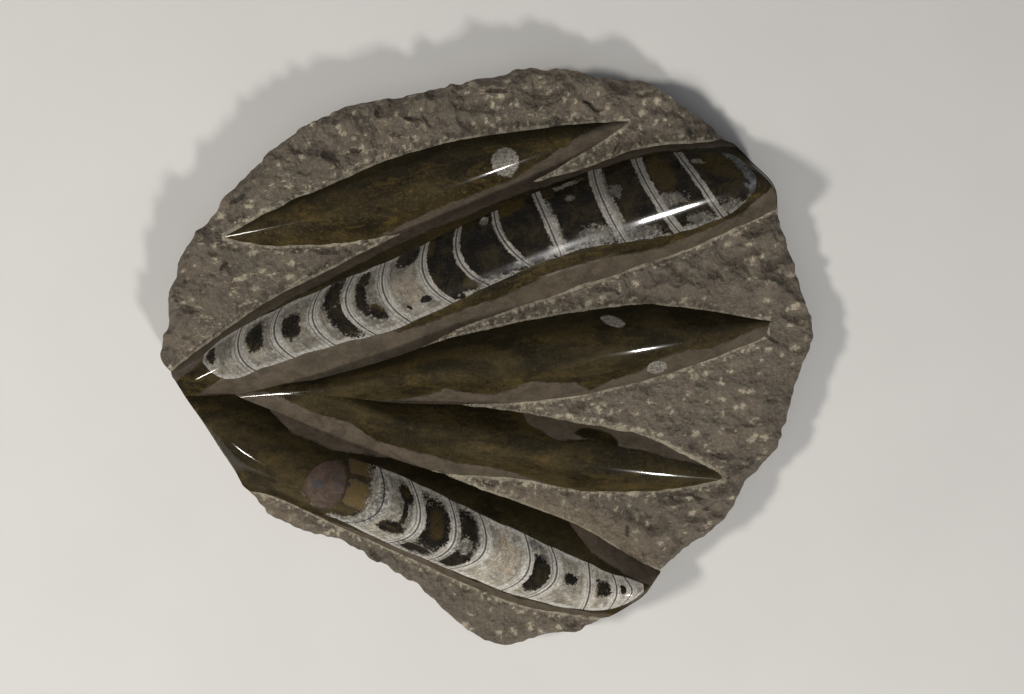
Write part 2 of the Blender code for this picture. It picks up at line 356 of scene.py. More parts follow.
def ripple(points, size, seed):
    """Chance heights from -1 to 1, blended between the corners of cubes of that size."""
    at = points / size
    cell = np.floor(at)
    part = at - cell
    part = part * part * (3 - 2 * part)
    total = 0.0
    for corner in product((0, 1), repeat=3):
        share = np.where(corner, part, 1 - part).prod(-1)
        total = total + share * chance(cell + corner, seed)
    return 2 * total - 1


def bites(points, size, seed):
    """Shell-shaped chisel bites, 0 to 1: the lowest of the bowls round jittered centres.

    Each bowl is the squared distance from its centre plus a chance start, so bowls meet in ridges.
    """
    cell = np.floor(points / size)
    lowest = np.full(points.shape[:-1], np.inf)
    for step in product((-1, 0, 1), repeat=3):
        near = cell + step
        jitter = np.stack([chance(near, seed + k) for k in range(3)], -1)
        away = ((points / size - near - jitter) ** 2).sum(-1)
        lowest = np.minimum(lowest, away + 0.5 * chance(near, seed + 3))
    return np.clip(lowest, 0, 1.2) / 1.2


def outline_table():
    """The outline as bearings and reaches, its ends repeated so that it closes smoothly."""
    points = np.array(OUTLINE, float)
    bearings = np.arctan2(points[:, 1], points[:, 0])
    order = np.argsort(bearings)
    bearings = bearings[order]
    reaches = np.hypot(*points.T)[order]
    return (
        np.concatenate([bearings[-2:] - tau, bearings, bearings[:2] + tau]),
        np.concatenate([reaches[-2:], reaches, reaches[:2]]),
    )


BEARINGS, REACHES = outline_table()


def outline_reach(bearing):
    """How far the outline lies from the middle at a bearing."""
    return smooth(bearing, BEARINGS, REACHES)


def side_reach(bearing, z):
    """How far the broken side lies from the middle at a bearing and a height."""
    return outline_reach(bearing) - np.interp(z, SIDE_HEIGHTS, SIDE_INSETS)


def polar(reach, bearing, z):
    """Points from their distance to the middle, their bearing and their height."""
    return np.stack([reach * np.cos(bearing), reach * np.sin(bearing), z], -1)


def turned(points, x, y, angle):
    """How far points lie from (x, y), along a direction and to its left."""
    dx = points[..., 0] - x
    dy = points[..., 1] - y
    return dx * np.cos(angle) + dy * np.sin(angle), dy * np.cos(angle) - dx * np.sin(angle)


def oval(points, x, y, length, width, turn):
    """How far inside an oval a point is: 1 at its middle, 0 on its edge, less outside."""
    along, beside = turned(points, x, y, radians(turn))
    return 1 - np.hypot(along / length, beside / width)


def ragged_edge(bearing):
    """Small breaks along the outline, about a millimetre deep and mostly inwards."""
    ring = 140 * np.stack([np.cos(bearing), np.sin(bearing), 0 * bearing], -1)
    return 0.75 * ripple(ring, 7.0, 101) + 0.45 * ripple(ring, 2.8, 102) - 0.35


def ridge_lines(name, x):
    """The crest's Y, the height, the far foot's Y and the near foot's Y at each X."""
    places, *lines = np.array(RIDGES[name], float).T
    x = np.clip(x, places[0], places[-1])
    return [smooth(x, places, line) for line in lines]


def flank_width(name, x, t):
    """How wide the flank is that a point lies on, from the crest to the foot."""
    crest, _, far, near = ridge_lines(name, x)
    return np.where(t > 0, far - crest, crest - near)


def steepness(name, x, t):
    """How steep a ridge's flank is: the slope of its section, in mm up per mm across."""
    height = ridge_lines(name, x)[1]
    return CREST_POWER * height * np.abs(t) ** (CREST_POWER - 1) / flank_width(name, x, t)


def polish_wave(x, y):
    """Hand polishing leaves long shallow waves, about a tenth of a millimetre high."""
    points = np.stack([x, y, np.zeros_like(x)], -1)
    return 0.07 * ripple(points, 21.0, 5) + 0.02 * ripple(points, 8.0, 6)


def across_ridge(name, x, y):
    """Where a point lies across a ridge: -1 at the near foot, 0 at the crest, 1 at the far foot."""
    crest, _, far, near = ridge_lines(name, x)
    return np.where(y > crest, (y - crest) / (far - crest), (y - crest) / (crest - near))


def ridge_surface(name, x, t):
    """The ridge's skin at X and t: y runs from foot to crest to foot, z = height * (1 - |t|**power)."""
    crest, height = ridge_lines(name, x)[:2]
    y = crest + t * flank_width(name, x, t)
    z = GROUND - SINK + height * (1 - np.abs(t) ** CREST_POWER)
    z = z + polish_wave(x, y) * np.clip(height / 4, 0, 1)
    return over_rim(np.stack([x, y, z], -1))


def over_rim(points):
    """Folds what runs past the slab's rim down its broken side.

    A point d past the side's face drops by d, eased in over a few mm, and is set on the face there.
    """
    ease = 2.0
    well_inside = -8.0
    lowest = GROUND - 2.5
    bearing = np.arctan2(points[..., 1], points[..., 0])
    reach = np.hypot(points[..., 0], points[..., 1])
    z = points[..., 2]
    past = reach - side_reach(bearing, z)
    drop = ease * np.log1p(np.exp(np.clip(past / ease, -30, 30)))
    low = np.maximum(z - np.where(past < well_inside, 0, drop), lowest)
    tuck = np.clip(GROUND + 0.5 - low, 0, 3) * 0.8
    reach = np.minimum(reach, side_reach(bearing, low) + 0.2 - tuck)
    return polar(reach, bearing, np.minimum(z, low))


def rim_gap(points):
    """How far inside the slab's outline a point lies, in mm."""
    x, y = points[..., 0], points[..., 1]
    return outline_reach(np.arctan2(y, x)) - np.hypot(x, y)


def crowded_places(first, last, count, crowding):
    """Places from first to last, part of them even and part drawn towards both ends."""
    even = np.linspace(0, 1, count)
    eased = (1 - np.cos(np.linspace(0, pi, count))) / 2
    return first + (last - first) * (crowding * eased + (1 - crowding) * even)


def link_mesh(name, points, faces, fields, bend):
    """A mesh object from points in mm, with named fields; edges that bend more are left sharp."""
    mesh = bpy.data.meshes.new(name)
    mesh.from_pydata((points * MM).tolist(), [], faces)
    mesh.validate()
    mesh.shade_smooth()
    for key, values in fields.items():
        layer = mesh.attributes.new(key, "FLOAT", "POINT")
        layer.data.foreach_set("value", np.asarray(values, np.float32))
    mesh.set_sharp_from_angle(angle=radians(bend))
    piece = bpy.data.objects.new(name, mesh)
    bpy.context.scene.collection.objects.link(piece)
    return piece


def loft(name, skin, under, fields):
    """A closed mesh of a polished face: each ring is a row of the skin, then the two points under
    its ends, which take their fields from those ends. The first and last rings are filled."""
    rings = np.concatenate([skin, under], 1)[:, ::-1]
    index = np.arange(rings[..., 0].size).reshape(rings.shape[:2])
    following = np.roll(index, -1, 1)
    quads = np.stack([index[:-1], following[:-1], following[1:], index[1:]], -1).reshape(-1, 4)
    faces = [*quads.tolist(), index[0][::-1].tolist(), index[-1].tolist()]
    whole = {}
    for key, values in fields.items():
        full = np.concatenate([values, values[:, -1:], values[:, :1]], 1)
        whole[key] = full[:, ::-1].ravel()
    return link_mesh(name, rings.reshape(-1, 3), faces, whole, POLISH_BEND)


def adopt(piece, slot, material, *nodes):
    """Fixes a piece to the slab's body, in place of the CAD nodes that it stands for."""
    piece.data.materials.append(material)
    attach(piece, "root")
    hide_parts(*nodes)


# ---------------------------------------------------------------- slab


def disc(count):
    """Squares mapped to a disc of even density: ring = the larger of |u| and |v|, and the bearing
    is a quarter turn times the smaller over the larger."""
    even = np.linspace(-1, 1, count + 1)
    u, v = np.meshgrid(even, even, indexing="ij")
    wide = np.abs(u) >= np.abs(v)
    ring = np.where(wide, u, v)
    part = np.where(wide, v, u) / np.where(ring == 0, 1, ring)
    turn = np.where(wide, part * pi / 4, pi / 2 - part * pi / 4)
    return ring * np.cos(turn), ring * np.sin(turn)


def foot_points():
    """Points every few mm along the ridges' feet, for the tool's marks."""
    found = []
    for name, table in RIDGES.items():
        x = np.arange(table[0][0] + 2, table[-1][0] - 2, FOOT_MARK_SPACING)
        _, height, far, near = ridge_lines(name, x)
        for y, side in ((far, 1), (near, -1)):
            line = np.stack([x, y + side * FOOT_MARK_GAP], -1)
            found.append(line[height > LOWEST_MARKED_RIDGE])
    return np.concatenate(found)


def ridge_cover(x, y):
    """How far inside the nearest ridge's foot lines a point lies, in mm; negative outside."""
    cover = np.full(x.shape, FAR_OFF)
    for name, table in RIDGES.items():
        far, near = ridge_lines(name, x)[2:]
        inside = np.where((x > table[0][0]) & (x < table[-1][0]), np.minimum(far - y, y - near), FAR_OFF)
        cover = np.maximum(cover, inside)
    return cover


def ground_patches(points, patches):
    """How far inside any of the ground's patches a point is: 1 well inside, 0 outside."""
    field = np.zeros(len(points))
    for patch in patches:
        field = np.maximum(field, np.clip(2.5 * oval(points, *patch), 0, 1))
    return field


def peck_marks(points):
    """Tool marks: for each mark 1 at its middle, falling to 0 at its reach; the highest is kept."""
    draw = np.random.default_rng(11)
    xs, ys = np.meshgrid(np.arange(-150, 150, MARK_SPACING), np.arange(-132, 134, MARK_SPACING))
    open_marks = np.stack([xs.ravel(), ys.ravel()], -1) + draw.uniform(-4, 4, (xs.size, 2))
    crowded = ripple(np.concatenate([open_marks, 0 * open_marks[:, :1]], -1), 19.0, 52)
    open_marks = open_marks[crowded > -0.25]
    foot = foot_points()
    marks = np.concatenate([open_marks, foot + draw.normal(0, 0.8, foot.shape)])
    size = np.concatenate([draw.uniform(1.0, 3.6, len(open_marks)), draw.uniform(1.0, 2.4, len(foot))])
    stretch = draw.uniform(0.35, 0.9, len(marks))
    turn = draw.choice([0.1, 0.1, 1.5], len(marks)) + draw.normal(0, 0.3, len(marks))
    field = np.zeros(len(points))
    for (x, y), reach, narrow, angle in zip(marks, size, stretch, turn):
        near = np.flatnonzero((np.abs(points[:, 0] - x) < reach) & (np.abs(points[:, 1] - y) < reach))
        along, beside = turned(points[near], x, y, angle)
        field[near] = np.maximum(field[near], 1 - np.hypot(along, beside / narrow) / reach)
    return field


def crevice_field(points):
    """How near a point is to a short crack in the ground: 1 on it, 0 at its reach."""
    reach = 1.7
    field = np.zeros(len(points))
    for x, y, length, turn in CREVICES:
        along, beside = turned(points, x, y, radians(turn))
        along = along / length
        beside = (beside + 0.8 * np.sin(3 * along)) / reach
        field = np.maximum(field, np.clip(1 - np.hypot(along**2, beside), 0, 1))
    return field


def slab_top():
    """The slab's top: its points, and how marked, how covered and how near the rim each one is.

    Its height is the ground's, plus broad relief and the bowls of the chisel, less the drop at the
    rim, the marks, the cracks and the hollows. The relief, the bowls, the marks and the cracks are
    calm near a ridge.
    """
    ring_x, ring_y = disc(SLAB_SQUARES)
    turn = np.arctan2(ring_y, ring_x)
    ring = np.hypot(ring_x, ring_y)
    rim = outline_reach(turn) + ragged_edge(turn) - np.interp(GROUND, SIDE_HEIGHTS, SIDE_INSETS)
    flat = polar(ring * rim, turn, 0 * turn).reshape(-1, 3)
    inward = ((1 - ring) * rim).ravel()
    bevel = np.interp(np.degrees(turn).ravel(), *np.array(EDGE_BEVELS, float).T)
    edge = np.clip(1 - inward / (2.2 * bevel), 0, 1)
    relief = 0.9 * ripple(flat, 31.0, 1) + 0.35 * ripple(flat, 9.0, 2) + 0.12 * ripple(flat, 2.6, 3)
    warped = flat + 2.2 * np.stack([ripple(flat, 6.0, 15), ripple(flat, 6.0, 16), 0 * flat[:, 0]], -1)
    chisel = bites(warped, 11.0, 20) + 0.55 * bites(warped + [3, 7, 0], 5.5, 31)
    rough = bites(flat + [11, 2, 5], 13.0, 44)
    marks = peck_marks(flat)
    cover = ridge_cover(flat[:, 0], flat[:, 1])
    calm = np.clip(1 - 0.12 * np.clip(cover + 6, 0, 8), 0.2, 1)
    calm = calm * (1 - 0.7 * ground_patches(flat, TAN_PATCHES))
    calm = calm * (1 - 0.62 * ground_patches(flat, CALM_PATCHES))
    height = GROUND + calm * (0.5 * relief + 7.2 * (chisel - 0.46))
    height = height - bevel * edge**1.5 + 2.4 * (rough - 0.5) * edge * np.clip(bevel - 1, 0, 2) / 2
    height = height - (0.6 * np.clip(marks, 0, 1) + 1.2 * crevice_field(flat)) * calm
    for x, y, reach, depth in HOLLOWS:
        height = height - depth * np.exp(-(np.hypot(flat[:, 0] - x, flat[:, 1] - y) / reach) ** 4)
    flat[:, 2] = height
    return flat, marks, cover, edge


def side_points(rim):
    """Rings down the side: the inset at each height, bitten by large and small breaks."""
    bearing = np.arctan2(rim[:, 1], rim[:, 0])
    share = np.linspace(0, 1, SIDE_ROWS + 1)[1:]
    z = rim[None, :, 2] * (1 - share[:, None])
    reach = side_reach(bearing, z) + ragged_edge(bearing)
    skin = polar(reach, bearing, z)
    fade = np.sin(pi * np.clip(share, 0, 0.97))[:, None] ** 0.5
    large = bites(skin, 17.0, 60) + 0.3 * bites(skin * [1, 1, 0.4], 34.0, 66)
    small = bites(skin, 6.0, 71)
    depth = 0.4 + 2.2 * large + 0.6 * small + 0.25 * ripple(skin, 2.0, 80)
    lift = 1.2 * np.sin(pi * share)[:, None]
    return polar(reach - fade * depth + lift, bearing, z)


def slab_mesh():
    """The whole slab as one closed mesh: the top's squares, the side's rings and the flat base."""
    top, marks, cover, edge = slab_top()
    count = SLAB_SQUARES + 1
    index = np.arange(count * count).reshape(count, count)
    quads = np.stack([index[:-1, :-1], index[1:, :-1], index[1:, 1:], index[:-1, 1:]], -1)
    loop = np.concatenate([index[:-1, 0], index[-1, :-1], index[:0:-1, -1], index[0, :0:-1]])
    sides = side_points(top[loop])
    below = count * count + np.arange(sides[..., 0].size).reshape(sides.shape[:2])
    rings = np.concatenate([loop[None], below])
    following = np.roll(rings, -1, 1)
    skirt = np.stack([rings[:-1], rings[1:], following[1:], following[:-1]], -1)
    faces = [*quads.reshape(-1, 4).tolist(), *skirt.reshape(-1, 4).tolist(), rings[-1][::-1].tolist()]
    fields = {
        "peck": (marks, 0), "cover": (cover, FAR_OFF), "side": (0.5 * edge, 1),
        "tan": (ground_patches(top, TAN_PATCHES), 0), "crevice": (crevice_field(top), 0),
        "worn": (ground_patches(top, WORN_PATCHES), 0),
    }
    for key, (on_top, on_side) in fields.items():
        fields[key] = np.concatenate([on_top, np.full(below.size, on_side)])
    points = np.concatenate([top, sides.reshape(-1, 3)])
    return link_mesh("slab", points, faces, fields, STONE_BEND)


# ---------------------------------------------------------------- ridges


def inclusion_field(name, skin, inclusions):
    """How far inside any inclusion a point is: 1 at its middle, 0 on its edge, less outside."""
    field = np.full(skin.shape[:-1], -9.0)
    for ridge, *place in inclusions:
        if ridge == name:
            field = np.maximum(field, oval(skin, *place))
    return field


def ridge_mesh(name):
    """One ridge as a closed loft: an arch of the skin and two roots under the ground."""
    rows, across = RIDGE_GRID
    x = crowded_places(RIDGES[name][0][0], RIDGES[name][-1][0], rows, 0.35)
    x, t = np.meshgrid(x, FOOT_REACH * np.linspace(-1, 1, across), indexing="ij")
    skin = ridge_surface(name, x, t)
    roots = skin[:, [-1, 0]] * [ROOT_TAPER, ROOT_TAPER, 0] + [0, 0, GROUND - ROOT_DROP]
    near_edge, far_edge = (
        np.interp(x, *np.array(edges[name], float).T) for edges in (NEAR_OLIVE_EDGES, FAR_OLIVE_EDGES)
    )
    olive = np.minimum(t - near_edge, far_edge - t) * flank_width(name, x, t)
    grey, shade, gold = RIDGE_LOOKS[name]
    fields = {
        "olive": np.maximum(olive, 4 * inclusion_field(name, skin, DARK_LOBES)),
        "inclusion": inclusion_field(name, skin, SMALL_SHELLS), "rim": rim_gap(skin),
        # far is painted shade for the olive of the far flank
        "steep": steepness(name, x, t), "far": shade * np.clip(t, 0, 1), "gold": 0 * t + gold,
        # lift paints the far flank's grey lighter or darker: painted light and shade
        "lift": np.interp(t, (0.3, 0.9), (1, grey)),
    }
    return loft(f"{name}_ridge", skin, roots, fields)


# ---------------------------------------------------------------- shells


def wall_x(wall, v):
    """A wall's X across the shell: the parabola through its near, middle and far points."""
    near, middle, far = wall[:3]
    return near * (1 - v) * (1 - 2 * v) + middle * 4 * v * (1 - v) + far * v * (2 * v - 1)


def patch_field(patches, along, across):
    """How far inside any patch a point is: 1 or more at its middle, 0 on its edge, less outside.

    A patch is the superellipse |along|**square + |across|**square = 1. A long one rises steeper, so
    that its edge is as sharp as a short one's.
    """
    field = np.full(along.shape, -2.0)
    for place, middle, length, width, square in patches:
        reach = np.abs((along - place) / length) ** square + np.abs((across - middle) / width) ** square
        steep = max(length / 0.3, 1.0)
        field = np.maximum(field, steep * (1 - reach ** (1 / square)))
    return field


def shell_mesh(key, ridge, grid):
    """One shell's polished face: the ridge's own skin between the shell's sides, a hair proud."""
    rows, across = grid
    places, near_side, far_side = np.array(SHELL_SIDES[key], float).T
    x = crowded_places(places[0], places[-1], rows, 0.5)
    x, v = np.meshgrid(x, np.linspace(0, 1, across), indexing="ij")
    near = smooth(x, places, near_side)
    far = smooth(x, places, far_side)
    flat = np.stack([x, 0 * x, 40 * v], -1)
    wobble = 0.35 * ripple(flat, 5.0, 90) * np.where(v > 0.5, 1, -1) * np.abs(2 * v - 1) ** 8
    y = near + v * (far - near) + wobble
    t = across_ridge(ridge, x, y)
    skin = ridge_surface(ridge, x, t) + [0, 0, SHELL_PROUD]
    under = skin[:, [-1, 0]] - [0, 0, SHELL_DEPTH]
    walls = WALLS[key]
    lines = np.array([wall_x(wall, v) for wall in walls])
    along = sum(np.clip((x - a) / (b - a), 0, 1) for a, b in zip(lines[:-1], lines[1:]))
    gap = np.abs(x - lines)
    flank = np.clip(t, 0, 1)
    _, shade, gold = RIDGE_LOOKS[ridge]
    fields = {
        "along": along, "across": v, "wall": gap.min(0) * WALL_SLANT,
        "band": np.array([wall[3] for wall in walls])[gap.argmin(0)],
        "side_gap": np.minimum(v, 1 - v) * (far - near), "rim": rim_gap(skin),
        # far is painted shade for the olive stone on the far flank
        "steep": steepness(ridge, x, t), "far": shade * flank, "gold": 0 * t + gold,
        # the calcite's brightness along the shell, times painted shade on the far flank
        "clarity_and_painted_shade": np.interp(along, *np.array(CLARITY[key]).T) * (1 - SHELL_FAR_SHADE[key] * flank),
    }
    for kind, patches in PATCHES.items():
        fields[kind] = patch_field(patches[key], along, v)
    return loft(f"{key}_shell", skin, under, fields)


# ---------------------------------------------------------------- shader language


def sign(operation):
    """A sign of arithmetic and its reflected form, each as a Math node."""

    def plain(self, other):
        return self.math(operation, self, other)

    def reflected(self, other):
        return self.math(operation, other, self)

    return plain, reflected


class Number:
    """A number that changes over a surface: a socket that takes the signs of arithmetic."""

    def __init__(self, finish, socket):
        self.finish = finish
        self.socket = socket

    def math(self, operation, *values):
        """A Math node of the values."""
        made = self.finish.node("Math", {"operation": operation}, *values)
        return Number(self.finish, made.outputs[0])

    __add__, __radd__ = sign("ADD")
    __sub__, __rsub__ = sign("SUBTRACT")
    __mul__, __rmul__ = sign("MULTIPLY")

    def __abs__(self):
        return self.math("ABSOLUTE", self)

    def fract(self):
        """The part after the point."""
        return self.math("FRACT", self)

    def over(self, other):
        """The larger of the two."""
        return self.math("MAXIMUM", self, other)

    def step(self, start, end):
        """0 up to the start and 1 from the end on, eased between them; the start may be the larger."""
        low, high = (start, end) if start < end else (end, start)
        ease = self.finish.node(
            "MapRange", {"interpolation_type": "SMOOTHSTEP"}, Value=self,
            **{"From Min": low, "From Max": high},
        )
        eased = Number(self.finish, ease.outputs["Result"])
        return eased if start < end else 1 - eased


class Finish:
    """One material and the nodes in it."""

    def __init__(self, name):
        self.material = bpy.data.materials.new(name)
        self.material.use_nodes = True
        self.tree = self.material.node_tree
        self.shader = self.tree.nodes["Principled BSDF"]
        self.places = self.node("TexCoord").outputs["Object"]

    def node(self, kind, settings=None, *values, **named):
        """A node of that type; its settings come first, then the values or links of its sockets."""
        made = self.tree.nodes.new(f"ShaderNode{kind}")
        for key, value in (settings or {}).items():
            setattr(made, key, value)
        for place, value in [*enumerate(values), *named.items()]:
            self.feed(made.inputs[place], value)
        return made

    def feed(self, socket, value):
        """Links a socket to another, or sets its value."""
        if isinstance(value, Number):
            value = value.socket
        if isinstance(value, bpy.types.NodeSocket):
            self.tree.links.new(value, socket)
        elif isinstance(value, tuple) and len(value) == 3 and socket.type == "RGBA":
            socket.default_value = (*value, 1)
        else:
            socket.default_value = value

    def field(self, name):
        """A named field of the mesh."""
        return Number(self, self.node("Attribute", {"attribute_name": name}).outputs["Fac"])

    def grain(self, size, detail=3.0, rough=0.55, warp=0.0, stretch=(1, 1, 1), turn=0.0, seed=0.0):
        """Cloudy noise from 0 to 1, its lumps about that many mm across."""
        place = self.node(
            "Mapping", None, Vector=self.places,
            Location=(seed, seed * 1.7, 0), Rotation=(0, 0, turn), Scale=stretch,
        )
        made = self.node(
            "TexNoise", None, Vector=place.outputs[0],
            Scale=1 / (size * MM), Detail=detail, Roughness=rough, Distortion=warp,
        )
        return Number(self, made.outputs["Fac"])

    def regions(self, size, seed, start, end):
        """Broad soft-edged patches about that many mm across: 0 outside them and 1 inside."""
        return self.grain(size, 2, 0.5, seed=seed).step(start, end)

    def cells(self, size, feature="F1", seed=0.0):
        """Distance from the nearest point of a jittered lattice, or from the nearest border."""
        place = self.node("Mapping", None, Vector=self.places, Location=(seed, seed * 1.3, 0))
        made = self.node(
            "TexVoronoi", {"feature": feature}, Vector=place.outputs[0], Scale=1 / (size * MM),
        )
        return Number(self, made.outputs["Distance"])

    def blend(self, share, first, second):
        """The first colour where the share is 0, the second where it is 1."""
        factor, first_colour, second_colour = 0, 6, 7  # the Mix node's sockets for colours
        made = self.node("Mix", {"data_type": "RGBA", "clamp_factor": True})
        for place, value in ((factor, share), (first_colour, first), (second_colour, second)):
            self.feed(made.inputs[place], value)
        return made.outputs[2]

    def layers(self, colour, *coats):
        """A colour with others laid over it in turn, each given as its share and its colour."""
        for share, coat in coats:
            colour = self.blend(share, colour, coat)
        return colour

    def scale(self, colour, amount):
        """A colour made lighter or darker by a number."""
        made = self.node("VectorMath", {"operation": "SCALE"}, colour, Scale=amount)
        return made.outputs[0]

    def coat(self, **values):
        """Sets or links the shader's own sockets by name, with underscores for spaces."""
        for key, value in values.items():
            self.feed(self.shader.inputs[key.replace("_", " ")], value)

    def polish(self):
        """Full gloss along a ridge's crest, dull on its steep flanks and by the slab's broken edge."""
        high = self.field("steep").step(0.92, 0.64)
        return self.field("rim").step(2.0, 9.0) * (0.12 + 0.88 * high)

    def bump(self, height, depth, strength=1.0):
        """Fine relief: a height from 0 to 1, that many mm deep."""
        made = self.node("Bump", None, Strength=strength, Distance=depth * MM, Height=height)
        self.feed(self.shader.inputs["Normal"], made.outputs[0])


# ---------------------------------------------------------------- finishes


def ground_colour(look, fine, grit, mottle, flecks):
    """Grey-brown stone in rose, moss and tan clouds, with cream flecks, tool strokes and smears."""
    stone = bpy.context.scene.fossil_colours.stone
    light_stone = tuple(1.12 * part for part in stone)
    deep_stone = tuple(0.88 * part for part in stone)
    warm = look.grain(16, 3, 0.5, seed=8).step(0.38, 0.66)
    rosy = look.grain(7, 4, 0.6, seed=9).step(0.50, 0.66)
    mossy = look.grain(8, 4, 0.6, seed=10).step(0.52, 0.68)
    base = look.layers(
        look.blend(warm, light_stone, deep_stone),
        (rosy * 0.5, (0.165, 0.125, 0.098)),
        (mossy * 0.4, (0.128, 0.117, 0.084)),
        (look.field("tan") * 0.8, (0.178, 0.143, 0.102)),
    )
    broad = look.grain(34, 3, 0.55)
    base = look.scale(base, 0.60 * broad + 0.26 * mottle + 1.35 * fine + 0.95 * grit - 0.56)
    patchy = look.grain(13, 3, 0.6, warp=0.5, seed=24).step(0.40, 0.62)
    base = look.blend(flecks * (0.20 + 0.55 * patchy), base, (0.285, 0.240, 0.170))
    for turn, seed in ((0.3, 61), (-1.2, 62), (1.0, 63)):
        strokes = look.grain(0.9, 2, 0.6, stretch=(0.28, 1, 1), turn=turn, seed=seed).step(0.60, 0.70)
        base = look.blend(strokes * (0.15 + 0.35 * patchy), base, (0.300, 0.255, 0.185))
    smears = look.grain(2.6, 4, 0.68, warp=0.3, stretch=(0.45, 1, 1), turn=0.1, seed=64)
    smears = smears.step(0.555, 0.64) * look.regions(11, 65, 0.40, 0.52)
    smears = smears * (0.15 + 0.75 * look.field("worn"))
    return look.blend(smears, base, look.scale((0.430, 0.375, 0.270), 0.45 + 1.1 * fine))


def crushed_share(look, mark, cover, tan, struck):
    """How crushed the stone is: ragged tool marks, dots beside the ridges, a broken line by their feet."""
    ragged_mark = 1.1 * mark + 2.6 * (look.grain(1.3, 4, 0.72, seed=12) - 0.5)
    crushed = ragged_mark.step(0.54, 0.63) * look.grain(0.8, 3, 0.75, seed=14).step(0.26, 0.44) * struck
    crushed = crushed * (1 - 0.75 * tan)
    beside = cover.step(-4.0, -2.6) * cover.step(-0.6, -0.9)
    dots = look.cells(3.0, seed=4).step(0.34, 0.16) * look.regions(11, 17, 0.42, 0.52)
    dots = dots * look.grain(1.2, 3, 0.7, seed=18).step(0.36, 0.50)
    crushed = crushed.over(beside * dots * 0.9 * (1 - 0.8 * tan))
    foot = (cover + 1.4 * (look.grain(1.8, 3, 0.6, seed=15) - 0.5)).step(-1.0, -0.4)
    foot = foot * look.grain(5.0, 3, 0.6, seed=16).step(0.42, 0.58)
    return crushed.over(foot * 0.7 * (1 - 0.85 * tan))


def pits_and_cracks(look, cover, tan):
    """How dark a place is: scattered pits, crumbled stone beside the ridges, and the cracks."""
    crumbled = cover.step(-6.0, -2.5) * look.regions(13, 41, 0.54, 0.66)
    pits = look.cells(1.9, seed=2).step(0.17, 0.10) * look.regions(8, 30, 0.50, 0.60)
    pits = pits * (0.25 + 0.75 * tan)
    pits = pits.over(look.cells(1.8, seed=7).step(0.30, 0.14) * crumbled * 0.25)
    cracks = look.field("crevice") + 0.7 * (look.grain(2.2, 4, 0.7, seed=33) - 0.5)
    return pits.over(cracks.step(0.42, 0.62))


def limestone():
    """Matte chiselled limestone: grey-brown, flecked tan, pale crushed spots where the tool struck."""
    look = Finish("Chiselled limestone")
    crushed_stone = tuple(bpy.context.scene.fossil_colours.crushed)
    mottle = look.grain(6.0, 5, 0.68, warp=0.4, seed=3)
    fine = look.grain(0.8, 4, 0.75, seed=5)
    grit = look.grain(1.7, 4, 0.8, warp=0.3, seed=6)
    flecks = look.grain(2.4, 5, 0.78, warp=0.4, seed=21).step(0.55, 0.68)
    mark = look.field("peck")
    cover = look.field("cover")
    tan = look.field("tan")
    struck = look.regions(15, 13, 0.30, 0.46)
    halo = (mark + 0.9 * (mottle - 0.5) + 0.6 * (grit - 0.5)).step(-0.1, 0.6)
    crushed = crushed_share(look, mark, cover, tan, struck)
    line = cover.step(-0.9, -0.4) * look.regions(13, 42, 0.40, 0.52)
    dark = pits_and_cracks(look, cover, tan)
    beds = look.grain(3.0, 4, 0.6, stretch=(0.15, 0.15, 1), seed=40)
    side = look.scale((0.142, 0.118, 0.090), 0.45 + beds * (0.5 + mottle) + 0.3 * fine)
    side = look.blend(flecks * 0.3, side, (0.25, 0.210, 0.145))
    base = look.layers(
        ground_colour(look, fine, grit, mottle, flecks),
        (halo * struck * 0.55, look.scale((0.27, 0.23, 0.165), 0.4 + 1.2 * fine)),
        (crushed * 0.9, look.scale(crushed_stone, 0.55 + 0.9 * fine)),
        (line * 0.5, look.scale((0.40, 0.355, 0.265), 0.5 + fine)),
        (dark * 0.72, (0.022, 0.018, 0.012)),
        (look.field("side").step(0.55, 1.0) * 0.85, side),
    )
    relief = 0.55 * grit + 0.72 * look.cells(5.2, seed=1) + 0.40 * look.cells(2.3, seed=3)
    relief = relief + 0.34 * fine + 0.20 * mottle - 0.35 * dark
    look.coat(Base_Color=base, Roughness=0.86 - 0.12 * crushed, Specular_IOR_Level=0.3)
    look.bump(relief, 2.6)
    return look.material


